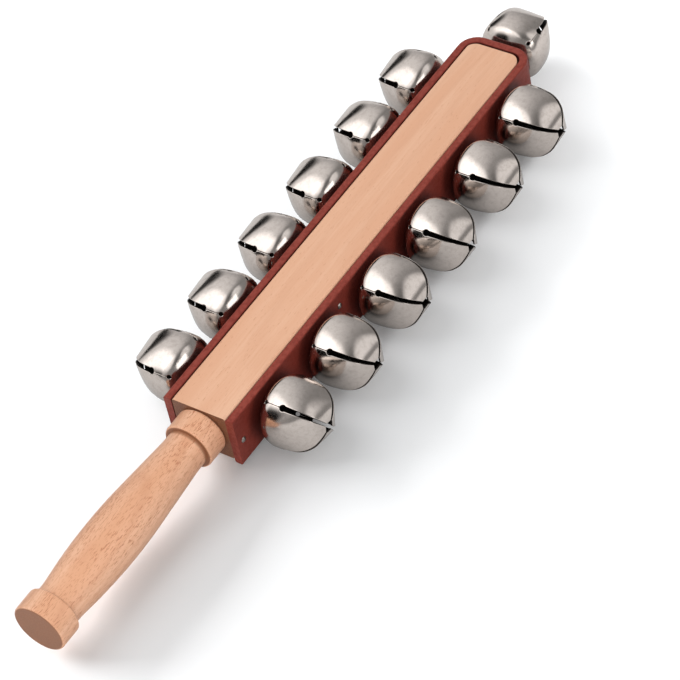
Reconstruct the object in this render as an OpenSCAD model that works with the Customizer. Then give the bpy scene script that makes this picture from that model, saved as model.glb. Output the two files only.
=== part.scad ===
// Jingle bell stick: a beech stick with a leather strap nailed round its upper block
// and thirteen slit bells pinned through the strap, each with a loose pellet inside.
// X runs along the stick to the tip bell, Y across it to the left row of bells, Z is up.

/* [Wood block] */
// Length of the square upper block
block_l = 160; // [150:1:180]
// Width of the block, from strap to strap
block_w = 18; // [16:0.5:20]
// Depth of the block, from its bare top to its bare underside
block_d = 16.4; // [15.5:0.1:18]
// Rounding of the block's upright corners at the tip
tip_corner_r = 3.5; // [2.5:0.1:5]
// Easing of the block's long edges
block_edge_r = 0.6; // [0.3:0.1:1]

/* [Handle] */
// Length of the handle from the block to the end of the pommel
handle_l = 77.6; // [74:0.1:90]
// Diameter of the collar next to the block
collar_d = 15.5; // [14.5:0.1:16]
// Length of the collar
collar_l = 7.6; // [6:0.1:9]
// Diameter of the neck behind the collar
neck_d = 12.6; // [12:0.1:13.4]
// Length of the straight neck
neck_l = 3.4; // [2:0.1:5]
// Largest diameter of the grip
grip_d = 16.3; // [15.6:0.1:17.5]
// Distance from the block to the thickest place of the grip
grip_peak = 43.6; // [41:0.1:46]
// Radius of the grip's long swelling curve
grip_curve_r = 180; // [160:5:200]
// Diameter of the waist in front of the pommel
waist_d = 13.4; // [13:0.1:13.8]
// Diameter of the pommel
pommel_d = 16.2; // [15.6:0.1:17]
// Length of the pommel
pommel_l = 7.6; // [6:0.1:8]
// Rounding of the turned edges
turned_edge_r = 0.8; // [0.5:0.1:1]
// Diameter of the glued tenon
tenon_d = 8; // [7:0.1:9]
// Wood left between the end of the glued tenon and the first pair of bell pins
tenon_end_gap = 2.5; // [1:0.1:5]

/* [Strap] */
// Thickness of the leather
strap_t = 2.6; // [2:0.1:3]
// How far the leather's upper edge lies below the top of the wood
strap_drop = 0.3; // [0:0.1:1]
// How far the leather hangs below the underside of the wood
strap_hang = 1.4; // [0:0.1:1.6]
// Gap between the leather and the end grain at the tip
strap_tip_gap = 1.1; // [0.2:0.1:1.5]
// Gap between the leather and the left side of the block
strap_left_gap = 0.4; // [0:0.1:0.8]
// Gap between the leather and the right side of the block
strap_right_gap = 0; // [0:0.1:0.8]
// Rounding of the leather's cut edges
strap_edge_r = 0.6; // [0.3:0.1:0.9]

/* [Bells] */
// Height of a bell from the strap to its pole
bell_h = 19.9; // [19:0.1:21]
// Width of a bell across two opposite petals
bell_w = 20.6; // [19.8:0.1:21.4]
// Extra reach of a slit's corner beyond the middle of a petal
corner_extra = 0.36; // [0.2:0.02:0.5]
// Height of the widest place above the strap
bell_waist_h = 6.6; // [6:0.1:7.2]
// Thickness of the sheet metal
sheet_t = 0.5; // [0.4:0.05:0.7]
// Distance from the first bell to the block's handle end, and from the last one to its tip
end_space = 16; // [13:0.5:17]

/* [Bell cuts] */
// Width of a slit at its lower end
slit_w_low = 1.9; // [1.4:0.02:2]
// Width of a slit beside the pole
slit_w_pole = 1; // [0.7:0.02:1.2]
// Height of the round holes that end the slits
slit_hole_h = 9.8; // [9.2:0.1:10.5]
// Diameter of the round holes that end the slits
slit_hole_d = 2.3; // [1.9:0.1:2.5]
// Side of the square hole at the pole
pole_hole = 2.8; // [1.6:0.1:3]
// Height of the relief holes where the petals leave the base
relief_h = 4.8; // [4.4:0.1:5.2]
// Diameter of the relief holes
relief_d = 1.6; // [1.4:0.1:2]
// Width of the closed seam between two petals
seam_w = 0.2; // [0.15:0.05:0.3]

/* [Pins and nails] */
// Diameter of a bell pin's shank
pin_d = 2; // [1.6:0.1:2.4]
// Diameter of a bell pin's flat head
pin_head_d = 5; // [4:0.1:5.6]
// Thickness of a bell pin's head
pin_head_t = 0.8; // [0.5:0.1:1]
// Depth of a bell pin in the wood
pin_depth = 7; // [5:0.1:7.4]
// Diameter of a strap nail's shank
nail_d = 0.9; // [0.7:0.1:1.1]
// Diameter of a strap nail's head
nail_head_d = 1.9; // [1.6:0.1:2.4]
// Height of a strap nail's domed head
nail_head_h = 0.45; // [0.3:0.05:0.6]
// Wood left between a strap nail's point and the glued tenon
nail_end_gap = 0.6; // [0.3:0.1:1.5]
// Distance from the first strap nail to the end of the block
nail_end_space = 2.7; // [2:0.1:5]
// How far the first strap nail lies below the middle of the strap
nail_drop = 1.6; // [0:0.1:4]
// How far the second strap nail lies above the middle of the strap
nail_rise = 3.3; // [0:0.1:5]
// How far the second strap nail lies from the middle of its gap, towards the handle
nail_offset = 1; // [0:0.1:2]

/* [Pellets] */
// Diameter of the loose pellets
pellet_d = 6; // [5:0.1:7]
// Clearance between a pellet and the petal that it lies on
pellet_gap = 0.2; // [0.1:0.05:0.3]

/* [Hidden] */
$fn = 72;

// Small hand-set errors of the bells: place along the stick and height in mm, turn about the pin in degrees
left_shift = [0, 0.2, 0.4, 0.5, 0.8, 0.9];
left_rise = [0.1, 0, -0.6, -0.6, -0.4, -0.9];
left_turn = [9, 6, 4, 8, 3, 8];
right_shift = [0.4, -0.1, 0, -0.4, 0.3, -0.2];
right_rise = [-0.6, -0.2, -0.1, -0.3, -0.4, 0.1];
right_turn = [-11, -1, 3, -2, 3, 5];
tip_shift = 0.7;
tip_turn = 4;

row_count = 6;
bell_pitch = (block_l - 2 * end_space) / (row_count - 1);
function bell_x(i, shifts) = end_space + i * bell_pitch + shifts[i];
left_places = [for (i = [0 : row_count - 1]) [bell_x(i, left_shift), left_rise[i]]];
right_places = [for (i = [0 : row_count - 1]) [bell_x(i, right_shift), right_rise[i]]];

// How far a cut starts and ends outside the solid that it cuts
cut_margin = 1;
// Width of a shank's blunt point as a share of its diameter
point_share = 0.2;

left_face_y = block_w / 2 + strap_left_gap + strap_t;
right_face_y = block_w / 2 + strap_right_gap + strap_t;
strap_tip_x = block_l + strap_tip_gap + strap_t;
strap_depth = block_d - strap_drop + strap_hang;
strap_mid_z = (strap_hang + strap_drop) / -2;

// The tenon stops short of the first pins, and the nails stop short of the tenon
first_pin_x = min(left_places[0][0], right_places[0][0]);
tenon_l = first_pin_x - pin_d / 2 - tenon_end_gap;
nail_depth = (block_w - tenon_d) / 2 - nail_end_gap;

// The strap nails sit in the gaps beside the first bell and between the second and third
nail_places = [
    [nail_end_space, -nail_drop],
    [(right_places[1][0] + right_places[2][0]) / 2 - nail_offset, nail_rise]
];

// Plan of the bell: four flat petals meet at corners that reach a little further out
half_w = bell_w / 2;
corner_r = half_w + corner_extra;
corner_angle = acos(half_w / corner_r);

// Corner profile of the bell: a long side arc, a shoulder arc, a tight base arc and a flat dome
pole_flat_r = 1.9;
shoulder_roundness = 0.96;
base_roundness = 0.47;
shoulder_r = shoulder_roundness * (corner_r - pole_flat_r);
shoulder_rise = bell_h - shoulder_r - bell_waist_h;
side_span = corner_r - pole_flat_r;
side_r = (pow(side_span, 2) + pow(shoulder_rise, 2) - pow(shoulder_r, 2)) / (2 * (side_span - shoulder_r));
base_r = base_roundness * corner_r;
base_sink = 0.3;
base_span = corner_r - base_r;
dome_drop = bell_waist_h + base_sink;
dome_r = (pow(base_span, 2) + pow(dome_drop, 2) - pow(base_r, 2)) / (2 * (dome_drop - base_r));
dome_centre = [0, dome_r - base_sink];
base_centre = [base_span, bell_waist_h];

// Petal profile of the bell: two side arcs and a top arc that are tangent
crown_roundness = 0.8;
crown_r = crown_roundness * half_w;
crown_rise = bell_h - crown_r - bell_waist_h;
petal_r = (pow(half_w, 2) + pow(crown_rise, 2) - pow(crown_r, 2)) / (2 * (half_w - crown_r));

// The stick lies on its bells, so the one that reaches lowest sets the height of its axis
function reach(turn, rise) = corner_r * cos(max(0, corner_angle - abs(turn))) - rise;
axis_z = max([
    for (i = [0 : row_count - 1]) max(reach(left_turn[i], left_rise[i]), reach(right_turn[i], right_rise[i]))
]);
bell_top = bell_h - crown_r + sqrt(pow(crown_r, 2) - pow(pole_hole / 2, 2));
mid_x = (strap_tip_x + bell_top - handle_l) / 2;
mid_y = (left_face_y - right_face_y) / 2;

wood_colour = [0.87, 0.68, 0.53];
leather_colour = [0.44, 0.16, 0.12];
nickel_colour = [0.78, 0.77, 0.75];
steel_colour = [0.62, 0.62, 0.64];

// Moves the stick so that the origin is under its middle, on the surface that it lies on
module on_surface() {
    translate([-mid_x, -mid_y, axis_z]) children();
}

module round_rect(width, height, r) {
    square([width - 2 * r, height], center = true);
    square([width, height - 2 * r], center = true);
    for (x = [-1, 1], y = [-1, 1]) {
        translate([x * (width / 2 - r), y * (height / 2 - r)]) circle(r);
    }
}

// Puts a child on the left side of the strap at a place [x, z], with its Z outwards
module on_left(place, turn) {
    translate([place[0], left_face_y, place[1]]) rotate([0, -turn, 0]) rotate([-90, 0, 0]) children();
}

// Puts a child on the right side of the strap at a place [x, z], with its Z outwards
module on_right(place, turn) {
    translate([place[0], -right_face_y, place[1]]) rotate([0, -turn, 0]) rotate([90, 0, 0]) children();
}

// Puts a child on the strap's tip, with its Z outwards
module on_tip() {
    translate([strap_tip_x, tip_shift, 0]) rotate([tip_turn, 0, 0]) rotate([0, 90, 0]) children();
}

module at_every_bell() {
    for (place = left_places) {
        on_left(place, 0) children();
    }
    for (place = right_places) {
        on_right(place, 0) children();
    }
    on_tip() children();
}

module at_every_nail() {
    for (place = nail_places) {
        on_left(place, 0) children();
        on_right(place, 0) children();
    }
}

// A pointed shank that starts at the strap's outer face and runs inwards
module shank(d, depth) {
    point_l = d;
    length = strap_t + depth;
    translate([0, 0, -length + point_l]) cylinder(d = d, h = length - point_l);
    translate([0, 0, -length]) cylinder(d1 = point_share * d, d2 = d, h = point_l);
}

// Everything that is driven into the wood leaves its own shape there
module driven_holes() {
    at_every_bell() shank(pin_d, pin_depth);
    at_every_nail() shank(nail_d, nail_depth);
}

module block_plan() {
    square([block_l - tip_corner_r, block_w]);
    translate([0, tip_corner_r]) square([block_l, block_w - 2 * tip_corner_r]);
    for (y = [tip_corner_r, block_w - tip_corner_r]) {
        translate([block_l - tip_corner_r, y]) circle(tip_corner_r);
    }
}

module stick_block() {
    color(wood_colour) on_surface() difference() {
        intersection() {
            translate([0, -block_w / 2, -block_d / 2]) linear_extrude(block_d) block_plan();
            rotate([90, 0, 90]) linear_extrude(block_l) round_rect(block_w, block_d, block_edge_r);
        }
        translate([-cut_margin, 0, 0]) rotate([0, 90, 0]) cylinder(d = tenon_d, h = tenon_l + cut_margin);
        driven_holes();
    }
}

// Half of the grip's outline: a cone from the neck, the swelling, and a hollow before the pommel
neck_end = collar_l + neck_l;
pommel_start = handle_l - pommel_l;
grip_centre = [grip_d / 2 - grip_curve_r, grip_peak];
neck_offset = [neck_d / 2, neck_end] - grip_centre;
touch_angle = atan2(neck_offset[1], neck_offset[0]) + acos(grip_curve_r / norm(neck_offset));
touch = grip_centre + grip_curve_r * [cos(touch_angle), sin(touch_angle)];
hollow_r = 44;
hollow_x = waist_d / 2 + hollow_r;
hollow_rise = sqrt(pow(grip_curve_r + hollow_r, 2) - pow(hollow_x - grip_centre[0], 2));
hollow_start = grip_peak + hollow_rise * grip_curve_r / (grip_curve_r + hollow_r);

module turned_band(d, start, length, r) {
    translate([0, start]) square([d / 2 - r, length]);
    translate([0, start + r]) square([d / 2, length - 2 * r]);
    for (y = [start + r, start + length - r]) {
        translate([d / 2 - r, y]) circle(r);
    }
}

module grip_outline() {
    polygon([[0, neck_end], [neck_d / 2, neck_end], touch, [0, touch[1]]]);
    intersection() {
        translate([0, touch[1]]) square([grip_d, pommel_start - touch[1]]);
        translate(grip_centre) circle(grip_curve_r, $fn = 720);
    }
    difference() {
        translate([0, hollow_start]) square([grip_d / 2, pommel_start - hollow_start]);
        translate([hollow_x, grip_peak + hollow_rise]) circle(hollow_r, $fn = 360);
    }
}

module handle_outline() {
    translate([0, -tenon_l]) square([tenon_d / 2, tenon_l]);
    turned_band(collar_d, 0, collar_l, turned_edge_r);
    translate([0, collar_l]) square([neck_d / 2, neck_l]);
    grip_outline();
    turned_band(pommel_d, pommel_start, pommel_l, turned_edge_r);
}

module handle() {
    color(wood_colour) on_surface() rotate([0, -90, 0]) rotate_extrude() intersection() {
        handle_outline();
        translate([0, -tenon_l]) square([grip_d, tenon_l + handle_l]);
    }
}

// The strap is one strip's cross-section carried along both sides, two bends and the tip
module strap_section() {
    translate([strap_t / 2, strap_mid_z]) round_rect(strap_t, strap_depth, strap_edge_r);
}

module bent_section() {
    translate([tip_corner_r, 0]) strap_section();
}

// One side of the strap and its bend, with its inner face at a distance from the middle
module strap_side(inner_y) {
    bend_x = block_l + strap_tip_gap - tip_corner_r;
    bend_y = inner_y - tip_corner_r;
    translate([0, inner_y, 0]) rotate([90, 0, 90]) linear_extrude(bend_x) strap_section();
    translate([bend_x, bend_y, 0]) rotate_extrude(angle = 90) bent_section();
    translate([bend_x, bend_y, 0]) rotate([90, 0, 0]) linear_extrude(bend_y) bent_section();
}

module strap() {
    color(leather_colour) on_surface() difference() {
        union() {
            strap_side(block_w / 2 + strap_left_gap);
            mirror([0, 1, 0]) strap_side(block_w / 2 + strap_right_gap);
        }
        at_every_bell() through_strap(pin_d);
        at_every_nail() through_strap(nail_d);
    }
}

module through_strap(d) {
    translate([0, 0, -strap_t - cut_margin]) cylinder(d = d, h = strap_t + 2 * cut_margin);
}

module strap_nails() {
    dome_r = (pow(nail_head_d / 2, 2) + pow(nail_head_h, 2)) / (2 * nail_head_h);
    color(steel_colour) on_surface() at_every_nail() {
        shank(nail_d, nail_depth);
        intersection() {
            translate([0, 0, nail_head_h - dome_r]) sphere(dome_r);
            cylinder(d = nail_head_d + cut_margin, h = nail_head_h + cut_margin);
        }
    }
}

module bell_pins() {
    color(steel_colour) on_surface() at_every_bell() {
        shank(pin_d, pin_depth);
        cylinder(d = pin_d, h = sheet_t);
        translate([0, 0, sheet_t]) cylinder(d = pin_head_d, h = pin_head_t);
    }
}

// Each outline of the bell is inset by the sheet's thickness for the hollow.
// Upper half of the outline through two opposite corners: the side arc runs into the shoulder arc
module upper_corner_outline(inset) {
    tangent_h = bell_waist_h + shoulder_rise * (side_r - inset) / (side_r - shoulder_r);
    intersection() {
        translate([corner_r - side_r, bell_waist_h]) circle(side_r - inset, $fn = 360);
        square([corner_r, tangent_h]);
    }
    translate([pole_flat_r, bell_h - shoulder_r]) circle(shoulder_r - inset);
    square([pole_flat_r, bell_h - inset]);
}

// Lower half: the dome's arc runs into the tight base arc on the line through their centres
module lower_corner_outline(inset) {
    past_tangent = base_centre + 2 * base_r * (base_centre - dome_centre) / norm(base_centre - dome_centre);
    intersection() {
        translate(dome_centre) circle(dome_r - inset, $fn = 180);
        polygon([[0, bell_waist_h], [0, past_tangent[1]], past_tangent, base_centre]);
    }
    translate(base_centre) circle(base_r - inset);
}

module corner_outline(inset) {
    intersection() {
        translate([0, bell_waist_h]) square([corner_r, bell_h]);
        upper_corner_outline(inset);
    }
    intersection() {
        translate([0, inset]) square([corner_r, bell_waist_h - inset]);
        lower_corner_outline(inset);
    }
}

// Outline through the middles of two opposite petals: the side arcs run into the crown arc
module petal_outline(inset) {
    tangent_h = bell_waist_h + crown_rise * (petal_r - inset) / (petal_r - crown_r);
    intersection() {
        translate([half_w - petal_r, bell_waist_h]) circle(petal_r - inset, $fn = 180);
        translate([petal_r - half_w, bell_waist_h]) circle(petal_r - inset, $fn = 180);
        translate([-bell_w, -cut_margin]) square([2 * bell_w, tangent_h + cut_margin]);
    }
    translate([0, bell_h - crown_r]) circle(crown_r - inset);
}

module bell_solid(inset) {
    intersection() {
        rotate_extrude() corner_outline(inset);
        rotate([90, 0, 0]) linear_extrude(2 * bell_w, center = true) petal_outline(inset);
        rotate([90, 0, 90]) linear_extrude(2 * bell_w, center = true) petal_outline(inset);
    }
}

// Cuts on the four corners: slit, its round end, the closed seam and the relief hole
module bell_cuts() {
    slit_start = pole_hole / 2;
    slit_end = corner_r + cut_margin;
    hole_start = half_w / 2;
    for (corner = [45 : 90 : 315]) {
        rotate([0, 0, corner]) {
            translate([0, 0, slit_hole_h]) linear_extrude(bell_h) polygon([
                [slit_start, -slit_w_pole / 2],
                [slit_end, -slit_w_low / 2],
                [slit_end, slit_w_low / 2],
                [slit_start, slit_w_pole / 2]
            ]);
            translate([hole_start, -seam_w / 2, relief_h]) cube([half_w, seam_w, slit_hole_h - relief_h]);
            translate([hole_start, 0, slit_hole_h]) rotate([0, 90, 0]) cylinder(d = slit_hole_d, h = half_w);
            translate([hole_start, 0, relief_h]) rotate([0, 90, 0]) cylinder(d = relief_d, h = half_w);
        }
    }
    translate([-pole_hole / 2, -pole_hole / 2, bell_waist_h]) cube([pole_hole, pole_hole, bell_h]);
    translate([0, 0, -cut_margin]) cylinder(d = pin_d, h = sheet_t + 2 * cut_margin);
}

module bell() {
    color(nickel_colour) difference() {
        bell_solid(0);
        bell_solid(sheet_t);
        bell_cuts();
    }
}

// A pellet's centre lies under the pin's axis, on the petal that faces down
function pellet_drop(turn) = (half_w - sheet_t - pellet_gap - pellet_d / 2) / cos(turn);

module pellet(turn) {
    translate([0, 0, -pellet_drop(turn)]) color(steel_colour) sphere(d = pellet_d);
}

module left_bell(i) {
    on_surface() on_left(left_places[i], left_turn[i]) bell();
}

module right_bell(i) {
    on_surface() on_right(right_places[i], right_turn[i]) bell();
}

module tip_bell() {
    on_surface() on_tip() bell();
}

module left_pellet(i) {
    place = left_places[i];
    on_surface() translate([place[0], left_face_y + bell_waist_h, place[1]]) pellet(left_turn[i]);
}

module right_pellet(i) {
    place = right_places[i];
    on_surface() translate([place[0], -right_face_y - bell_waist_h, place[1]]) pellet(right_turn[i]);
}

module tip_pellet() {
    on_surface() translate([strap_tip_x + bell_waist_h, tip_shift, 0]) pellet(tip_turn);
}

stick_block();
handle();
strap();
strap_nails();
bell_pins();
left_bell(0);  // left_bell_1
left_bell(1);  // left_bell_2
left_bell(2);  // left_bell_3
left_bell(3);  // left_bell_4
left_bell(4);  // left_bell_5
left_bell(5);  // left_bell_6
right_bell(0);  // right_bell_1
right_bell(1);  // right_bell_2
right_bell(2);  // right_bell_3
right_bell(3);  // right_bell_4
right_bell(4);  // right_bell_5
right_bell(5);  // right_bell_6
tip_bell();
left_pellet(0);  // left_pellet_1
left_pellet(1);  // left_pellet_2
left_pellet(2);  // left_pellet_3
left_pellet(3);  // left_pellet_4
left_pellet(4);  // left_pellet_5
left_pellet(5);  // left_pellet_6
right_pellet(0);  // right_pellet_1
right_pellet(1);  // right_pellet_2
right_pellet(2);  // right_pellet_3
right_pellet(3);  // right_pellet_4
right_pellet(4);  // right_pellet_5
right_pellet(5);  // right_pellet_6
tip_pellet();
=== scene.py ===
import math

import bmesh
import bpy
import numpy as np
from mathutils import Matrix, Vector


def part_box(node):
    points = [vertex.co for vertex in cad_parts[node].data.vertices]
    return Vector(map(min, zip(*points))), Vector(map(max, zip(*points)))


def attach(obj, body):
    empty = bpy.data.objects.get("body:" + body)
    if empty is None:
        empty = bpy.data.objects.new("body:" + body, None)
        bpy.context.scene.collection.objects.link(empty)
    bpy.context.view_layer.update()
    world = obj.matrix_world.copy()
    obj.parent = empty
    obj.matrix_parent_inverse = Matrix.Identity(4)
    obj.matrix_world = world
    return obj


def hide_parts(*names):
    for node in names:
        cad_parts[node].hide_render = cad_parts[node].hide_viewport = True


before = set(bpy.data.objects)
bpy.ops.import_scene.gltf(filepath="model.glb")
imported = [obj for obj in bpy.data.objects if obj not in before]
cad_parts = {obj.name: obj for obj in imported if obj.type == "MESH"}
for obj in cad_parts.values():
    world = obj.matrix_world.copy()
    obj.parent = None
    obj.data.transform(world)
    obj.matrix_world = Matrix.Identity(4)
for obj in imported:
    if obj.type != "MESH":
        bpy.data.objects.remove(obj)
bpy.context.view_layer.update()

MM = 0.001


# Places read from the frame

def corner_mm(node, end):
    """Lowest (end 0) or highest (end 1) corner of a CAD node, in millimetres."""
    return np.array(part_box(node)[end]) / MM


BLOCK_LOW = corner_mm("stick_block", 0)
BLOCK_HIGH = corner_mm("stick_block", 1)
# The collar is only one stretch of the handle's node, so its length is stated here, in
# millimetres. The groove is the corner where the collar steps down to the neck.
COLLAR_L = 7.6
GROOVE_X = BLOCK_LOW[0] - COLLAR_L


# Colours

def linear(red, green, blue):
    """Scene colour of a colour given as seen on a screen, 0 to 255."""
    def decode(value):
        value /= 255
        return value / 12.92 if value <= 0.04045 else ((value + 0.055) / 1.055) ** 2.4
    return (decode(red), decode(green), decode(blue), 1.0)


LEATHER_FACE = linear(122, 46, 35)
LEATHER_FACE_PALE = linear(134, 54, 42)
LEATHER_MOTTLE = linear(98, 32, 24)
LEATHER_EDGE = linear(150, 68, 56)
LEATHER_EDGE_DARK = linear(124, 50, 40)
# Painted shade on the leather where the bells and the block stand near it
LEATHER_PAINTED_SHADE = linear(44, 12, 10)
NICKEL_BRIGHT = linear(218, 208, 201)
NICKEL_RUBBED = linear(204, 194, 187)
# Painted shade for the bell's inside and the walls of its cuts, in two tones
INSIDE_PAINTED_SHADE = linear(46, 41, 38)
INSIDE_PAINTED_SHADE_DARK = linear(30, 26, 24)
NAIL_STEEL = linear(158, 153, 148)
PIN_STEEL = linear(150, 148, 146)
PELLET_STEEL = linear(130, 128, 126)
FLOOR_WHITE = (0.79, 0.8, 0.81, 1)
FLOOR_IN_METAL = (0.12, 0.12, 0.12, 1)

# Each wood's colours, how many flecks it shows, how strong its growth rings are, and where a groove
# lies in it, if one does
BLOCK_WOOD = {
    "plain": linear(238, 190, 158),
    "streak": linear(230, 176, 142),
    "fleck": linear(204, 144, 110),
    # Colour of the end faces: browner end grain with painted shade
    "end_grain_and_shade": linear(121, 78, 54),
    "fleck_share": 0.2,
    "ring_strength": 0.1,
}
HANDLE_WOOD = {
    "plain": linear(241, 191, 158),
    "streak": linear(228, 171, 135),
    "fleck": linear(182, 108, 72),
    "end_grain_and_shade": linear(150, 100, 70),
    "fleck_share": 1.2,
    "ring_strength": 0.14,
    "groove": GROOVE_X,
}


# Grain of each finish, in texture units per millimetre along, across and up the stick, and the
# turns of the two grains that lie askew, in radians

def evenly(per_mm):
    """The same number for all three directions."""
    return (per_mm, per_mm, per_mm)


WOOD_CLOUD = (0.012, 0.16, 0.16)
WOOD_STREAK = (0.09, 2.2, 2.2)
WOOD_FLECK = (0.6, 4.2, 4.2)
WOOD_FLECK_TURN = (0.0, 0.0, 0.02)
WOOD_FLECK_PATCH = (0.03, 0.22, 0.22)
WOOD_PORES = evenly(3.0)
LEATHER_CLOUD = evenly(0.08)
LEATHER_SPOTS = evenly(0.9)
LEATHER_PEBBLES = evenly(2.4)
LEATHER_FIBRES = (1.2, 1.2, 7.0)
NICKEL_WAVES = evenly(0.22)
NICKEL_RUBS = evenly(0.7)
NICKEL_SCRATCHES = (0.35, 5.0, 2.6)
NICKEL_SCRATCH_TURN = (0.5, 0.3, 0.8)
INSIDE_STAINS = evenly(0.8)
STEEL_HAZE = evenly(3.0)

# The growth rings' waves, how far the stick lies from the middle of its tree in millimetres, and how
# the tree leans
RING_WAVES = {"Scale": 0.11, "Distortion": 1.6, "Detail": 2.0, "Detail Scale": 0.6}
RING_OFFSET = (0.0, 9.0, 14.0)
RING_LEAN = (0.0, math.radians(4), math.radians(7))

# How far from the groove, towards the grip, the wood starts to darken and is darkest, in
# millimetres, and how much it darkens
GROOVE_FADE = (1.3, 0.3)
GROOVE_DARK = 0.85

# How near another piece has to be for shade to be painted on the leather, in millimetres, and how dark
# that painted shade gets
LEATHER_SHADE_REACH = 4.5
LEATHER_SHADE_DARK = 0.75

# Where the flecks' texture starts to show and shows fully, and how much a fleck share of one lowers
# both
FLECK_START = 0.68
FLECK_FULL = 0.76
FLECK_GAIN = 0.1

# Lowest and highest roughness of each finish. A steel has a lowest of its own, and a step to its
# highest.
WOOD_ROUGHNESS = (0.36, 0.5)
LEATHER_ROUGHNESS = (0.44, 0.6)
NICKEL_ROUGHNESS = (0.14, 0.21)
INSIDE_ROUGHNESS = (0.6, 0.75)
STEEL_ROUGHNESS_STEP = 0.15

# Colour of a steel's haze as a share of its own
STEEL_HAZE_SHADE = 0.7

# Height of each finish's relief, in millimetres
WOOD_RELIEF = 0.03
PEBBLE_RELIEF = 0.05
FIBRE_RELIEF = 0.03
NICKEL_WAVE_RELIEF = 0.1
SCRATCH_RELIEF = 0.004
INSIDE_RELIEF = 0.02
STEEL_RELIEF = 0.01


# Helpers that build node materials

class Graph:
    """Short calls for the nodes that materials and the world share."""

    def __init__(self, tree):
        self.nodes = tree.nodes
        self.links = tree.links

    def feed(self, value, socket):
        """Links an output, or writes a plain value, into a node's input."""
        if isinstance(value, bpy.types.NodeSocket):
            self.links.new(value, socket)
        else:
            socket.default_value = value

    def math(self, operation, first, second=0.0):
        node = self.nodes.new("ShaderNodeMath")
        node.operation = operation
        self.feed(first, node.inputs[0])
        self.feed(second, node.inputs[1])
        return node.outputs[0]

    def band(self, value, low, high, out_low=0.0, out_high=1.0):
        """Maps a value from low..high to out_low..out_high with a smooth ramp."""
        node = self.nodes.new("ShaderNodeMapRange")
        node.interpolation_type = "SMOOTHSTEP"
        node.inputs["From Min"].default_value = low
        node.inputs["From Max"].default_value = high
        node.inputs["To Min"].default_value = out_low
        node.inputs["To Max"].default_value = out_high
        self.links.new(value, node.inputs["Value"])
        return node.outputs["Result"]


class Surface(Graph):
    """A node material with its shader and short calls for the nodes used here."""

    def __init__(self, name):
        self.material = bpy.data.materials.new(name)
        self.material.use_nodes = True
        super().__init__(self.material.node_tree)
        self.shader = self.nodes["Principled BSDF"]
        self.object_place = self.nodes.new("ShaderNodeTexCoord").outputs["Object"]

    def set(self, socket, value):
        """Feeds one input of the shader with a node's output or a plain value."""
        self.feed(value, self.shader.inputs[socket])

    def place(self, per_mm, turn=(0, 0, 0)):
        """Object position scaled to a number of texture units per millimetre along each axis."""
        node = self.nodes.new("ShaderNodeMapping")
        node.inputs["Scale"].default_value = [scale / MM for scale in per_mm]
        node.inputs["Rotation"].default_value = turn
        self.links.new(self.object_place, node.inputs["Vector"])
        return node.outputs["Vector"]

    def noise(self, vector, detail=3.0, roughness=0.5, distortion=0.0):
        node = self.nodes.new("ShaderNodeTexNoise")
        node.inputs["Scale"].default_value = 1.0
        node.inputs["Detail"].default_value = detail
        node.inputs["Roughness"].default_value = roughness
        node.inputs["Distortion"].default_value = distortion
        self.links.new(vector, node.inputs["Vector"])
        return node.outputs["Fac"]

    def voronoi(self, vector, feature="F1"):
        node = self.nodes.new("ShaderNodeTexVoronoi")
        node.feature = feature
        node.inputs["Scale"].default_value = 1.0
        self.links.new(vector, node.inputs["Vector"])
        return node.outputs["Distance"]

    def mix(self, factor, first, second):
        """Colour that goes from the first to the second as the factor goes from 0 to 1."""
        node = self.nodes.new("ShaderNodeMix")
        node.data_type = "RGBA"
        sockets = {socket.identifier: socket for socket in list(node.inputs) + list(node.outputs)}
        self.feed(factor, sockets["Factor_Float"])
        self.feed(first, sockets["A_Color"])
        self.feed(second, sockets["B_Color"])
        return sockets["Result_Color"]

    def bump(self, height, relief_mm, strength, under=None):
        """Raises the surface by a height map, over an earlier bump if one is given."""
        node = self.nodes.new("ShaderNodeBump")
        node.inputs["Strength"].default_value = strength
        node.inputs["Distance"].default_value = relief_mm * MM
        self.links.new(height, node.inputs["Height"])
        if under is not None:
            self.links.new(under, node.inputs["Normal"])
        self.links.new(node.outputs["Normal"], self.shader.inputs["Normal"])
        return node.outputs["Normal"]

    def openness(self, reach_mm):
        """1 where nothing stands near the surface, and less where something does."""
        node = self.nodes.new("ShaderNodeAmbientOcclusion")
        node.inputs["Distance"].default_value = reach_mm * MM
        return node.outputs["AO"]

    def normal(self, axis):
        """The surface's own direction along an axis of the frame, -1 to 1."""
        geometry = self.nodes.new("ShaderNodeNewGeometry")
        split = self.nodes.new("ShaderNodeSeparateXYZ")
        self.links.new(geometry.outputs["True Normal"], split.inputs["Vector"])
        return split.outputs[axis]

    def facing(self, axis):
        """How squarely the surface faces along an axis of the frame, 0 to 1."""
        return self.math("ABSOLUTE", self.normal(axis))


# Finishes

def growth_rings(surface):
    """Rings of a tree whose middle lies beside the stick and leans a little, 0 to 1."""
    rings = surface.nodes.new("ShaderNodeTexWave")
    rings.wave_type = "RINGS"
    rings.rings_direction = "X"
    for socket, value in RING_WAVES.items():
        rings.inputs[socket].default_value = value
    place = surface.nodes.new("ShaderNodeMapping")
    place.inputs["Location"].default_value = RING_OFFSET
    place.inputs["Rotation"].default_value = RING_LEAN
    place.inputs["Scale"].default_value = evenly(1 / MM)
    surface.links.new(surface.object_place, place.inputs["Vector"])
    surface.links.new(place.outputs["Vector"], rings.inputs["Vector"])
    return rings.outputs["Fac"]


def groove_shade(surface, groove):
    """Dark band on the handle's side of a groove at a place along the stick in millimetres."""
    split = surface.nodes.new("ShaderNodeSeparateXYZ")
    surface.links.new(surface.object_place, split.inputs["Vector"])
    along = split.outputs["X"]
    start, end = [(groove - gap) * MM for gap in GROOVE_FADE]
    nearing = surface.band(along, start, end, 0.0, GROOVE_DARK)
    return surface.math("MULTIPLY", nearing, surface.math("LESS_THAN", along, groove * MM))


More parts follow.
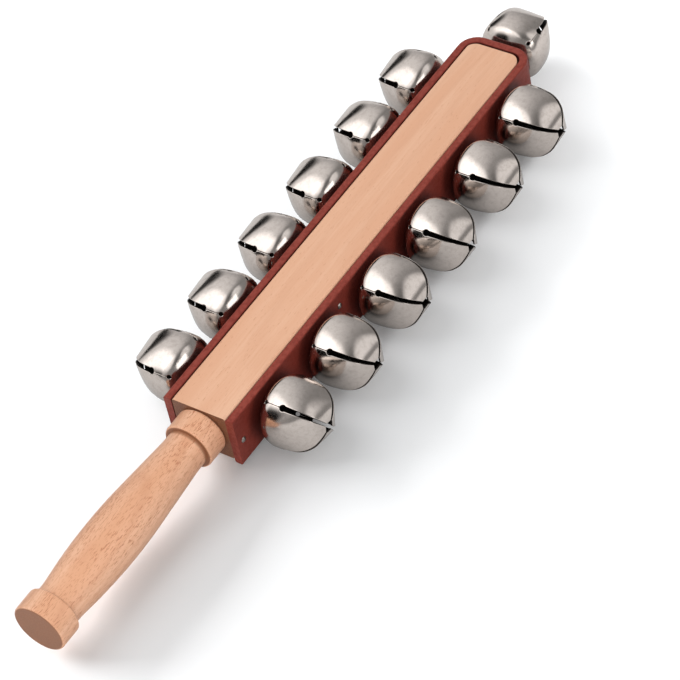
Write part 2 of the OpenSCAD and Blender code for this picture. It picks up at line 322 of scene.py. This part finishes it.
def beech(name, plain, streak, fleck, end_grain_and_shade, fleck_share, ring_strength, groove=None):
    """Steamed beech: fine streaks, short ray flecks along the grain, and browner end grain that also
    carries painted shade.
    """
    surface = Surface(name)
    cloud = surface.noise(surface.place(WOOD_CLOUD), detail=2)
    fine = surface.noise(surface.place(WOOD_STREAK), detail=4, roughness=0.65)
    colour = surface.mix(surface.band(cloud, 0.3, 0.7), plain, streak)
    colour = surface.mix(surface.band(fine, 0.42, 0.7, 0.0, 0.8), colour, streak)
    colour = surface.mix(surface.band(growth_rings(surface), 0.55, 1.0, 0.0, ring_strength), colour, fleck)

    flecks = surface.noise(surface.place(WOOD_FLECK, WOOD_FLECK_TURN), detail=1, distortion=0.25)
    patches = surface.noise(surface.place(WOOD_FLECK_PATCH), detail=1)
    gain = FLECK_GAIN * fleck_share
    fleck_mask = surface.band(flecks, FLECK_START - gain, FLECK_FULL - gain)
    fleck_mask = surface.math("MULTIPLY", fleck_mask, surface.band(patches, 0.3, 0.65, 0.3, 0.8))
    colour = surface.mix(fleck_mask, colour, fleck)
    if groove is not None:
        colour = surface.mix(groove_shade(surface, groove), colour, end_grain_and_shade)

    pores = surface.voronoi(surface.place(WOOD_PORES))
    # End faces get a browner colour, partly the end grain's own and partly painted shade.
    end_colour = surface.mix(surface.band(pores, 0.05, 0.4, 0.5, 0.0), end_grain_and_shade, fleck)
    colour = surface.mix(surface.band(surface.facing("X"), 0.75, 0.95), colour, end_colour)
    surface.set("Base Color", colour)
    surface.set("Roughness", surface.band(fine, 0.3, 0.8, *WOOD_ROUGHNESS))
    surface.set("Specular IOR Level", 0.4)
    grain = surface.bump(fine, WOOD_RELIEF, strength=0.5)
    surface.bump(flecks, WOOD_RELIEF, strength=0.4, under=grain)
    return surface.material


def leather():
    """Waxed strap leather, finely pebbled, paler on its cut edges, with painted shade where the bells and
    the block stand near it.
    """
    surface = Surface("leather_waxed")
    cloud = surface.noise(surface.place(LEATHER_CLOUD), detail=4)
    mottle = surface.noise(surface.place(LEATHER_SPOTS), detail=4, roughness=0.6)
    face = surface.mix(surface.band(cloud, 0.3, 0.7), LEATHER_FACE, LEATHER_FACE_PALE)
    face = surface.mix(surface.band(mottle, 0.45, 0.8, 0.0, 0.35), face, LEATHER_MOTTLE)
    edge = surface.mix(surface.band(mottle, 0.3, 0.75), LEATHER_EDGE, LEATHER_EDGE_DARK)
    cut = surface.band(surface.math("MAXIMUM", surface.facing("Z"), strap_end(surface)), 0.55, 0.95)
    # Painted shade: the leather darkens where a bell or the block stands near it.
    leather_painted_shade = surface.band(surface.openness(LEATHER_SHADE_REACH), 0.35, 0.95, LEATHER_SHADE_DARK, 0.0)
    surface.set("Base Color", surface.mix(leather_painted_shade, surface.mix(cut, face, edge), LEATHER_PAINTED_SHADE))

    pebble = surface.voronoi(surface.place(LEATHER_PEBBLES), feature="SMOOTH_F1")
    fibres = surface.noise(surface.place(LEATHER_FIBRES), detail=5, roughness=0.7)
    surface.set("Roughness", surface.band(mottle, 0.3, 0.8, *LEATHER_ROUGHNESS))
    surface.set("Specular IOR Level", 0.25)
    grain = surface.bump(pebble, PEBBLE_RELIEF, strength=0.6)
    surface.bump(fibres, FIBRE_RELIEF, strength=0.5, under=grain)
    return surface.material


def strap_end(surface):
    """1 on the strap's two square ends, which face back to the handle, and 0 elsewhere."""
    return surface.math("MAXIMUM", surface.math("MULTIPLY", surface.normal("X"), -1.0), 0.0)


def nickel():
    """Nickel plate over stamped steel: a soft mirror with faint stamping waves and rubbed patches."""
    surface = Surface("nickel_plate_soft")
    waves = surface.noise(surface.place(NICKEL_WAVES), detail=2)
    rubbed = surface.noise(surface.place(NICKEL_RUBS), detail=5, roughness=0.7)
    scratches = surface.noise(surface.place(NICKEL_SCRATCHES, NICKEL_SCRATCH_TURN), detail=3)
    surface.set("Base Color", surface.mix(surface.band(rubbed, 0.4, 0.75), NICKEL_BRIGHT, NICKEL_RUBBED))
    surface.set("Metallic", 1.0)
    surface.set("Roughness", surface.band(rubbed, 0.25, 0.85, *NICKEL_ROUGHNESS))
    wavy = surface.bump(waves, NICKEL_WAVE_RELIEF, strength=0.25)
    surface.bump(scratches, SCRATCH_RELIEF, strength=0.3, under=wavy)
    return surface.material


def nickel_inside():
    """The bell's dull inside and the walls of its cuts, near black with painted shade and faint random
    stains.
    """
    surface = Surface("nickel_inside_painted_shade")
    stains = surface.noise(surface.place(INSIDE_STAINS), detail=4)
    # Painted shade: the inside and the cut walls get a near-black colour for the shade inside the bell.
    surface.set("Base Color", surface.mix(surface.band(stains, 0.35, 0.7), INSIDE_PAINTED_SHADE, INSIDE_PAINTED_SHADE_DARK))
    surface.set("Metallic", 0.3)
    surface.set("Specular IOR Level", 0.2)
    surface.set("Roughness", surface.band(stains, 0.3, 0.7, *INSIDE_ROUGHNESS))
    surface.bump(stains, INSIDE_RELIEF, strength=0.4)
    return surface.material


def steel(name, colour, roughness):
    """Plain drawn steel with a fine haze."""
    surface = Surface(name)
    haze = surface.noise(surface.place(STEEL_HAZE), detail=4)
    darker = tuple(STEEL_HAZE_SHADE * part for part in colour[:3]) + (1.0,)
    surface.set("Base Color", surface.mix(surface.band(haze, 0.35, 0.75), colour, darker))
    surface.set("Metallic", 1.0)
    roughest = roughness + STEEL_ROUGHNESS_STEP
    surface.set("Roughness", surface.band(haze, 0.3, 0.8, roughness, roughest))
    surface.bump(haze, STEEL_RELIEF, strength=0.4)
    return surface.material


# The bell as a folded sheet: four petals that leave one base dome. Lengths are in millimetres and
# heights are counted from the strap's face.

# Height, half the width over the petals, reach at the corners between them, height of the widest
# place, and the sheet's thickness
BELL_H = 19.9
HALF_W = 10.3
CORNER_R = 10.66
WAIST_H = 6.6
SHEET_T = 0.5

# Outline: radius of the flat at the pole; radius of the shoulder as a share of the reach that the
# flat leaves, of the base's edge as a share of the corner's reach, and of the crown as a share of
# the half width; and how far below the strap's face the base dome would go if it weren't cut flat
POLE_FLAT_R = 1.9
SHOULDER_SHARE = 0.96
BASE_SHARE = 0.47
CROWN_SHARE = 0.8
BASE_SINK = 0.3
# Where the petal's side arc stops, in degrees up from the waist
PETAL_ARC_END = -70
# How sharply the corner's outline cuts the folded petals off, and the least angle from the pole at
# which that is reckoned, in radians
DOME_SHARPNESS = 60
LEAST_ANGLE = 0.03

# Cuts: half width of a slit far out and at the pole, how far out the first is, the slit's end hole,
# the relief hole, a closed seam's half width, half the side of the hole at the pole, and the radius
# of the pin's hole in the base
SLIT_LOW = 0.8
SLIT_POLE = 0.5
SLIT_END = CORNER_R + 1
SLIT_HOLE_H = 9.8
SLIT_HOLE_R = 1.0
RELIEF_H = 4.0
RELIEF_R = 0.6
SEAM = 0.05
POLE_HOLE = 1.6
PIN_R = 1.0
# Largest share of the distance from the axis that half an opening may take
WIDEST_CUT = 0.7

# Rounding of the sheet's free edges, and the share of it at which the rounding bends
RIM = 0.1
RIM_BEND = 0.3
# Height above which the mesh rows start to follow the square hole, and the mesh's row and column
# counts for one petal
CROWN_END_H = 17.5
CROWN_ROWS = 12
SLIT_ROWS = 10
HOLE_ROWS = 13
SEAM_ROWS = 8
BASE_ROWS = 14
PETAL_COLUMNS = 20
# Step between the three last columns where petals are joined, as a share of the corner's angle
JOINED_STEP = 0.002
# Angle from a petal's middle to the corner between two petals
CORNER = math.radians(45)
# Points of each outline arc, and of a level stretch
ARC_POINTS = 400
FLAT_POINTS = 40
# Angle to both sides over which the skin's slope is taken, in radians, and the decimals to which
# two rows' angles count as one
SLOPE_STEP = 1e-4
ROW_DECIMALS = 7

# Distance within which points are joined, length below which an edge is dropped, and the angle above
# which an edge stays sharp
MERGE_DISTANCE = 0.002
LEAST_EDGE = 0.001
SHARP_EDGE = math.radians(50)

# Each bell's turn about its pin in degrees, from the handle to the tip
LEFT_TURNS = (9, 6, 4, 8, 3, 8)
RIGHT_TURNS = (-11, -1, 3, -2, 3, 5)
TIP_TURN = 4


def arc(centre, radius, start, end):
    """Points of a circle's arc between two angles in degrees, counted from the outward direction."""
    angles = np.radians(np.linspace(start, end, ARC_POINTS))
    return np.column_stack([centre[0] + radius * np.cos(angles), centre[1] + radius * np.sin(angles)])


def flat_disc(radius, height):
    """Points of a level stretch of outline, out to a radius."""
    return np.column_stack([np.linspace(0, radius, FLAT_POINTS), np.full(FLAT_POINTS, height)])


def tangent_radius(span, rise, inner):
    """Radius of the long arc that ends level with the waist and runs into an inner arc."""
    return (span ** 2 + rise ** 2 - inner ** 2) / (2 * (span - inner))


def corner_profile():
    """The bell's outline through two opposite slits, from the pole down to the middle of the base."""
    span = CORNER_R - POLE_FLAT_R
    shoulder = SHOULDER_SHARE * span
    rise = BELL_H - shoulder - WAIST_H
    side = tangent_radius(span, rise, shoulder)
    turn = math.degrees(math.atan2(rise, side - span))
    base = BASE_SHARE * CORNER_R
    drop = WAIST_H + BASE_SINK
    dome = ((CORNER_R - base) ** 2 + drop ** 2 - base ** 2) / (2 * (drop - base))
    dome_mid = np.array([0, dome - BASE_SINK])
    base_mid = np.array([CORNER_R - base, WAIST_H])
    dip = math.degrees(math.atan2(*(base_mid - dome_mid)[::-1]))
    cut = math.degrees(math.asin(-dome_mid[1] / dome))
    return np.concatenate([
        flat_disc(POLE_FLAT_R, BELL_H),
        arc((POLE_FLAT_R, BELL_H - shoulder), shoulder, 90, turn),
        arc((CORNER_R - side, WAIST_H), side, turn, 0),
        arc(base_mid, base, 0, dip),
        arc(dome_mid, dome, dip, cut),
        flat_disc(dome * math.cos(math.radians(cut)), 0),
    ])


def petal_profile():
    """The bell's outline through the middles of two opposite petals, from the pole to well below."""
    crown = CROWN_SHARE * HALF_W
    rise = BELL_H - crown - WAIST_H
    side = tangent_radius(HALF_W, rise, crown)
    turn = math.degrees(math.atan2(rise, side - HALF_W))
    return np.concatenate([
        arc((0, BELL_H - crown), crown, 90, turn),
        arc((HALF_W - side, WAIST_H), side, turn, PETAL_ARC_END),
    ])


class BellShape:
    """Reach of the bell's skin in any direction from the middle of its waist."""

    def __init__(self):
        angles, turned = self.polar(corner_profile())
        self.corner = angles, self.lesser(angles, turned, CORNER)
        self.middle = angles, self.lesser(angles, turned, 0)
        self.pole = math.atan2(POLE_HOLE, BELL_H - WAIST_H)
        skin_h = WAIST_H + self.corner[1] * np.cos(angles)
        self.by_height = lambda height: np.interp(-height, -skin_h, angles)
        self.crown_end = float(self.by_height(CROWN_END_H))

    def lesser(self, angles, turned, side_angle):
        """The turned outline's reach where it is less than the folded petal's, with a soft change."""
        along, up = np.sin(angles) * math.cos(side_angle), np.cos(angles)
        petal = np.interp(np.arctan2(along, up), *self.polar(petal_profile())) / np.hypot(along, up)
        level = math.pi / 2
        sharpness = DOME_SHARPNESS * (level / np.clip(angles, LEAST_ANGLE, level)) ** 2
        return petal * (1 + (petal / turned) ** sharpness) ** (-1 / sharpness)

    def row_angle(self, row, side_angle):
        """Angle from the pole along a mesh row; the first rows follow the square hole's sides."""
        square = np.arctan2(POLE_HOLE / np.cos(side_angle), BELL_H - WAIST_H) - self.pole
        fade = np.clip((self.crown_end - row) / (self.crown_end - self.pole), 0, 1)
        return row + square * fade

    @staticmethod
    def polar(profile):
        """Angle from the pole and reach of an outline's points, in the order of their angles."""
        out, up = profile[:, 0], profile[:, 1] - WAIST_H
        angle = np.arctan2(out, up)
        order = np.argsort(angle)
        return angle[order], np.hypot(out, up)[order]

    def point(self, polar_angle, side_angle):
        """Skin point at an angle from the pole and an angle from the petal's middle."""
        out, up = np.sin(polar_angle), np.cos(polar_angle)
        corner = np.interp(polar_angle, *self.corner)
        middle = np.interp(polar_angle, *self.middle)
        reach = middle + (corner - middle) * (side_angle / CORNER) ** 2
        along, aside = out * np.cos(side_angle), out * np.sin(side_angle)
        return np.stack([reach * along, reach * aside, reach * up + WAIST_H], axis=-1)

    def normal(self, polar_angle, side_angle):
        """The skin's outward direction, from the points a small step away."""
        step = SLOPE_STEP
        down = self.point(polar_angle + step, side_angle) - self.point(polar_angle - step, side_angle)
        side = self.point(polar_angle, side_angle + step) - self.point(polar_angle, side_angle - step)
        cross = np.cross(down, side)
        return cross / np.linalg.norm(cross, axis=-1, keepdims=True)


def opening_half_width(height, out, grown):
    """Half the gap between two petals at a height and distance from the axis, grown by a margin."""
    def hole(centre, radius):
        span = (radius + grown) ** 2 - (height - centre) ** 2
        return math.sqrt(span) if span > 0 else 0.0
    relief = hole(RELIEF_H, RELIEF_R)
    if height < RELIEF_H:
        return relief
    if height < SLIT_HOLE_H:
        return max(relief, SEAM + grown, hole(SLIT_HOLE_H, SLIT_HOLE_R))
    share = (out - POLE_HOLE) / (SLIT_END - POLE_HOLE)
    slit = SLIT_POLE + (SLIT_LOW - SLIT_POLE) * share + grown
    return max(slit, hole(SLIT_HOLE_H, SLIT_HOLE_R))


def petal_rows(shape):
    """Polar angles of the mesh rows, close together where the edge bends round a hole."""
    arc_steps = np.sin(np.radians(np.linspace(-90, 90, HOLE_ROWS)))
    heights = np.concatenate([
        RELIEF_H + RELIEF_R * arc_steps,
        SLIT_HOLE_H + SLIT_HOLE_R * arc_steps,
        np.linspace(RELIEF_H + RELIEF_R, SLIT_HOLE_H - SLIT_HOLE_R, SEAM_ROWS),
        np.linspace(SLIT_HOLE_H + SLIT_HOLE_R, CROWN_END_H, SLIT_ROWS),
    ])
    sides = shape.by_height(heights)
    crown = np.linspace(shape.pole, shape.crown_end, CROWN_ROWS)
    base = np.linspace(sides.max(), math.pi - math.atan2(PIN_R, WAIST_H), BASE_ROWS)
    return np.unique(np.round(np.concatenate([crown, sides, base]), ROW_DECIMALS))


def petal_edge(shape, row):
    """A row's last three columns, as angles from the petal's middle and depths under the skin.

    Also says whether the edge is free there, or joined to the next petal.
    """
    edge_point = shape.point(shape.row_angle(row, CORNER), CORNER)
    out, height = math.hypot(edge_point[0], edge_point[1]), edge_point[2]
    if opening_half_width(height, out, 0.0) <= 0:
        return [(CORNER * (1 - JOINED_STEP * steps), 0.0) for steps in (2, 1, 0)], False

    def side_angle(grown):
        half = opening_half_width(height, out, grown)
        return CORNER - math.asin(min(half / out, WIDEST_CUT))

    rim_steps = [(RIM, 0.0), (RIM_BEND * RIM, RIM_BEND * RIM), (0.0, RIM)]
    return [(side_angle(grown), sunk) for grown, sunk in rim_steps], True


def petal_patch(shape, rows):
    """Outer and inner points of one petal, [row][column], with rounded rims along its free edges."""
    inner_columns = np.sin(np.linspace(-1, 1, PETAL_COLUMNS + 1) * math.pi / 2)
    outer, inner, free = [], [], []
    for row in rows:
        edges, is_free = petal_edge(shape, row)
        angles = [-angle for angle, sunk in edges[::-1]]
        angles += list(edges[0][0] * inner_columns[1:-1])
        angles += [angle for angle, sunk in edges]
        sunk = [depth for angle, depth in edges[::-1]] + [0.0] * (PETAL_COLUMNS - 1)
        sunk += [depth for angle, depth in edges]
        angles, sunk = np.array(angles), np.array(sunk)[:, None]
        polar = shape.row_angle(row, angles)
        skin = shape.point(polar, angles)
        normal = shape.normal(polar, angles)
        outer.append(skin - normal * sunk)
        inner.append(skin - normal * SHEET_T)
        free.append(is_free)
    return np.array(outer), np.array(inner), free


def bell_geometry():
    """The whole folded sheet, axis along Z, base on Z = 0, in millimetres.

    Returns its vertices, its faces and each face's side: 0 plated, 1 the dull inside.
    """
    shape = BellShape()
    outer, inner, free = petal_patch(shape, petal_rows(shape))
    row_count, column_count = outer.shape[:2]
    vertices, faces, sides = [], [], []

    def add(corners, side, flip=False):
        faces.append(corners[::-1] if flip else corners)
        sides.append(side)

    for quarter in range(4):
        turn = np.array(Matrix.Rotation(quarter * math.pi / 2, 3, "Z"))
        start = len(vertices)
        vertices.extend((outer.reshape(-1, 3) @ turn.T).tolist())
        vertices.extend((inner.reshape(-1, 3) @ turn.T).tolist())

        def at(side, row, column):
            return start + side * row_count * column_count + row * column_count + column

        for row in range(row_count - 1):
            for column in range(column_count - 1):
                add([at(0, row, column), at(0, row + 1, column),
                     at(0, row + 1, column + 1), at(0, row, column + 1)], 0)
                add([at(1, row, column), at(1, row, column + 1),
                     at(1, row + 1, column + 1), at(1, row + 1, column)], 1)
            if free[row] or free[row + 1]:
                for column, flip in ((0, False), (column_count - 1, True)):
                    add([at(0, row, column), at(1, row, column),
                         at(1, row + 1, column), at(0, row + 1, column)], 1, flip)
        for column in range(column_count - 1):
            for row, flip in ((0, True), (row_count - 1, False)):
                add([at(0, row, column), at(1, row, column),
                     at(1, row, column + 1), at(0, row, column + 1)], 1, flip)
    return vertices, faces, sides


def bell_place(node, side, turn):
    """Where a bell stands: its pin's axis and its foot on the strap, read from the CAD bell."""
    low, high = corner_mm(node, 0), corner_mm(node, 1)
    middle = (low + high) / 2
    if side == "left":
        foot = (middle[0], low[1], middle[2])
        stand = Matrix.Rotation(math.radians(-turn), 4, "Y") @ Matrix.Rotation(math.radians(-90), 4, "X")
    elif side == "right":
        foot = (middle[0], high[1], middle[2])
        stand = Matrix.Rotation(math.radians(-turn), 4, "Y") @ Matrix.Rotation(math.radians(90), 4, "X")
    else:
        foot = (low[0], middle[1], middle[2])
        stand = Matrix.Rotation(math.radians(turn), 4, "X") @ Matrix.Rotation(math.radians(90), 4, "Y")
    return Matrix.Translation(Vector(foot)) @ stand


def clean_up(mesh):
    """Joins the petals where they meet and points every face outwards."""
    work = bmesh.new()
    work.from_mesh(mesh)
    bmesh.ops.remove_doubles(work, verts=work.verts, dist=MERGE_DISTANCE * MM)
    bmesh.ops.dissolve_degenerate(work, dist=LEAST_EDGE * MM, edges=work.edges)
    bmesh.ops.recalc_face_normals(work, faces=work.faces)
    work.to_mesh(mesh)
    work.free()
    mesh.polygons.foreach_set("use_smooth", [True] * len(mesh.polygons))
    mesh.set_sharp_from_angle(angle=SHARP_EDGE)


def make_bell(node, side, turn, geometry, materials):
    """One folded bell in the place of its CAD node, which it replaces."""
    vertices, faces, sides = geometry
    mesh = bpy.data.meshes.new(node + "_sheet")
    mesh.from_pydata(vertices, [], faces)
    mesh.polygons.foreach_set("material_index", sides)
    mesh.transform(Matrix.Scale(MM, 4) @ bell_place(node, side, turn))
    clean_up(mesh)
    bell = bpy.data.objects.new(node + "_sheet", mesh)
    bpy.context.scene.collection.objects.link(bell)
    for material in materials:
        mesh.materials.append(material)
    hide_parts(node)
    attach(bell, "stick")


def make_bells(materials):
    geometry = bell_geometry()
    for side, turns in (("left", LEFT_TURNS), ("right", RIGHT_TURNS)):
        for number, turn in enumerate(turns, 1):
            make_bell("%s_bell_%d" % (side, number), side, turn, geometry, materials)
    make_bell("tip_bell", "tip", TIP_TURN, geometry, materials)


# Finish of the CAD nodes that show as they are

def dress(node, material):
    """Gives a CAD node its only material."""
    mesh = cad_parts[node].data
    mesh.materials.clear()
    mesh.materials.append(material)


def dress_cad_nodes():
    dress("stick_block", beech("beech_block", **BLOCK_WOOD))
    dress("handle", beech("beech_handle", **HANDLE_WOOD))
    dress("strap", leather())
    dress("strap_nails", steel("nail_steel_bright", NAIL_STEEL, roughness=0.25))
    dress("bell_pins", steel("pin_steel_drawn", PIN_STEEL, roughness=0.35))
    pellet = steel("pellet_steel", PELLET_STEEL, roughness=0.4)
    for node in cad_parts:
        if "pellet" in node:
            dress(node, pellet)


# Floor and light

# Brightness of the room, of the floor's lift to white, and of the floor in the metal, and the
# floor's side in metres
WORLD_LIGHT = 0.45
FLOOR_LIFT = 0.12
FLOOR_MIRRORED = 0.62
FLOOR_SIDE = 6.0
# How far from the object the floor, as metal mirrors it, carries painted shade, in millimetres
FLOOR_SHADE_REACH = 40

# About the middle of the two rows of bells, in metres
ROWS_MIDDLE = (0.03, 0, 0)

# Each lamp's name, place and aim in metres, width and height in metres, and power in watts: those
# that light the object, those that only make the floor white, and the panel that is only mirrored
OBJECT_LAMPS = (
    ("key_lamp", (-0.12, 0.3, 1.0), ROWS_MIDDLE, 0.5, 0.5, 2.9),
    ("fill_lamp", (-0.62, -0.60, 0.88), ROWS_MIDDLE, 0.6, 0.6, 6.5),
)
FLOOR_LAMPS = (
    ("low_floor_lamp", (-0.35, 2.3, 1.17), ROWS_MIDDLE, 2.4, 0.9, 92.0),
    ("high_floor_lamp", (-0.3, 1.3, 2.15), ROWS_MIDDLE, 1.5, 1.5, 15.0),
    ("tip_floor_lamp", (0.22, -0.12, 0.08), (0.12, -0.06, 0), 0.05, 0.05, 0.27),
    ("pommel_floor_lamp", (-0.17, -0.12, 0.07), (-0.13, -0.03, 0), 0.05, 0.05, 0.035),
)
MIRRORED_PANEL = ("low_panel", (0.02, -0.83, 0.34), ROWS_MIDDLE, 0.62, 0.3, 1.0)

# The room as the metal mirrors it: its plain level, and patches of softboxes and of dark cloth,
# each with its bearing, its height, the radii of its full part and of all of it, and its strength
ROOM_MIRRORED = 0.27
ROOM_PATCHES = (
    (95, 38, 20, 88, 0.6),
    (120, 46, 12, 37, 0.85),
    (172, 62, 12, 32, 0.75),
    (-56, 34, 8, 24, 0.65),
    (64, 2, 8, 27, -1.0),
    (146, 16, 6, 24, -1.0),
    (-100, 62, 4, 30, -0.12),
)


def soft_lamp(name, place, aim, width, height, power):
    """An area lamp at a place in metres that faces a point."""
    lamp = bpy.data.lights.new(name, "AREA")
    lamp.shape = "RECTANGLE"
    lamp.size = width
    lamp.size_y = height
    lamp.energy = power
    body = bpy.data.objects.new(name, lamp)
    direction = Vector(aim) - Vector(place)
    body.matrix_world = Matrix.Translation(place) @ direction.to_track_quat("-Z", "Y").to_matrix().to_4x4()
    bpy.context.scene.collection.objects.link(body)
    return body


def make_floor():
    """A plain pale floor that keeps the object's shadow and that metal mirrors as a soft grey, with
    painted shade near the object.
    """
    bpy.ops.mesh.primitive_plane_add(size=FLOOR_SIDE, location=(0, 0, 0))
    floor = bpy.context.object
    floor.name = "floor"
    surface = Surface("floor_white")
    surface.set("Roughness", 0.9)
    surface.set("Specular IOR Level", 0.0)
    surface.set("Emission Color", (1, 1, 1, 1))
    path = surface.nodes.new("ShaderNodeLightPath")
    seen, glossy = path.outputs["Is Camera Ray"], path.outputs["Is Glossy Ray"]
    surface.set("Base Color", surface.mix(glossy, FLOOR_WHITE, FLOOR_IN_METAL))
    # Painted shade: the floor as metal mirrors it darkens where the object stands near it.
    open_floor = surface.math("MULTIPLY", surface.openness(FLOOR_SHADE_REACH), FLOOR_MIRRORED)
    mirrored = surface.math("MULTIPLY", open_floor, glossy)
    surface.set("Emission Strength",
                surface.math("ADD", surface.math("MULTIPLY", seen, FLOOR_LIFT), mirrored))
    floor.data.materials.append(surface.material)
    return floor


def bearing(degrees_round, degrees_up):
    """Direction of a place in the studio: 0 is along the stick, 90 to its left, and how far up."""
    around, up = math.radians(degrees_round), math.radians(degrees_up)
    return math.cos(up) * math.cos(around), math.cos(up) * math.sin(around), math.sin(up)


def make_world():
    """A plain white room for cameras and dull surfaces, and its soft light patches for polished ones."""
    world = bpy.data.worlds.new("studio")
    bpy.context.scene.world = world
    world.use_nodes = True
    world.cycles.sampling_method = "NONE"
    graph = Graph(world.node_tree)
    direction = graph.nodes.new("ShaderNodeTexCoord").outputs["Generated"]
    mirrored = ROOM_MIRRORED
    for around, up, full, whole, strength in ROOM_PATCHES:
        dot = graph.nodes.new("ShaderNodeVectorMath")
        dot.operation = "DOT_PRODUCT"
        graph.links.new(direction, dot.inputs[0])
        dot.inputs[1].default_value = bearing(around, up)
        patch = graph.band(dot.outputs["Value"], math.cos(math.radians(whole)),
                           math.cos(math.radians(full)), 0.0, strength)
        mirrored = graph.math("ADD", mirrored, patch)
    path = graph.nodes.new("ShaderNodeLightPath")
    glossy, seen = path.outputs["Is Glossy Ray"], path.outputs["Is Camera Ray"]
    dull = graph.math("MULTIPLY", graph.math("SUBTRACT", 1.0, glossy), WORLD_LIGHT)
    polished = graph.math("MULTIPLY", graph.math("MAXIMUM", mirrored, 0.0), glossy)
    light = graph.math("MAXIMUM", graph.math("ADD", dull, polished), seen)
    background = graph.nodes["Background"]
    background.inputs["Color"].default_value = (1.0, 1.0, 1.0, 1)
    graph.links.new(light, background.inputs["Strength"])


def limit_light(lamp, thing, state):
    """Lights only one object (INCLUDE) or everything but it (EXCLUDE)."""
    group = bpy.data.collections.new(lamp.name + "_receivers")
    group.objects.link(thing)
    lamp.light_linking.receiver_collection = group
    group.collection_objects[0].light_linking.link_state = state


def make_light(floor):
    """A key and a fill lamp, lamps that only make the floor white, and a panel to be mirrored."""
    for lamps, state in ((OBJECT_LAMPS, "EXCLUDE"), (FLOOR_LAMPS, "INCLUDE")):
        for entry in lamps:
            lamp = soft_lamp(*entry)
            limit_light(lamp, floor, state)
            lamp.visible_glossy = False
            lamp.visible_camera = False
    panel = soft_lamp(*MIRRORED_PANEL)
    panel.visible_diffuse = False
    panel.visible_camera = False


# Camera

# Side of the square picture and focal length in pixels; the sensor's side, the nearest distance
# seen and the place from the handle end of the block's top face in millimetres; and the directions
# to the right and ahead
PHOTO_PX = 680
FOCAL_PX = 3088
SENSOR_MM = 36
CLIP_START_MM = 10
CAMERA_MM = (-403.4, -423.1, 617.9)
CAMERA_RIGHT = (0.538, -0.829, -0.1527)
CAMERA_AHEAD = (0.5147, 0.4666, -0.7193)


def make_camera():
    lens = bpy.data.cameras.new("photo_camera")
    lens.sensor_width = SENSOR_MM
    lens.lens = FOCAL_PX * SENSOR_MM / PHOTO_PX
    lens.clip_start = CLIP_START_MM * MM
    camera = bpy.data.objects.new("photo_camera", lens)
    bpy.context.scene.collection.objects.link(camera)
    ahead = Vector(CAMERA_AHEAD).normalized()
    right = Vector(CAMERA_RIGHT)
    right = (right - right.dot(ahead) * ahead).normalized()
    up = right.cross(ahead)
    place = Vector((BLOCK_LOW[0], 0, BLOCK_HIGH[2])) + Vector(CAMERA_MM)
    pose = Matrix((right, up, -ahead)).transposed().to_4x4()
    camera.matrix_world = Matrix.Translation(place * MM) @ pose
    bpy.context.scene.camera = camera


def write_sizes():
    def plain(bounds):
        return [[round(float(value), 5) for value in corner] for corner in bounds]


make_camera()
dress_cad_nodes()
make_bells([nickel(), nickel_inside()])
make_world()
make_light(make_floor())
bpy.context.scene.view_settings.view_transform = "Standard"
write_sizes()
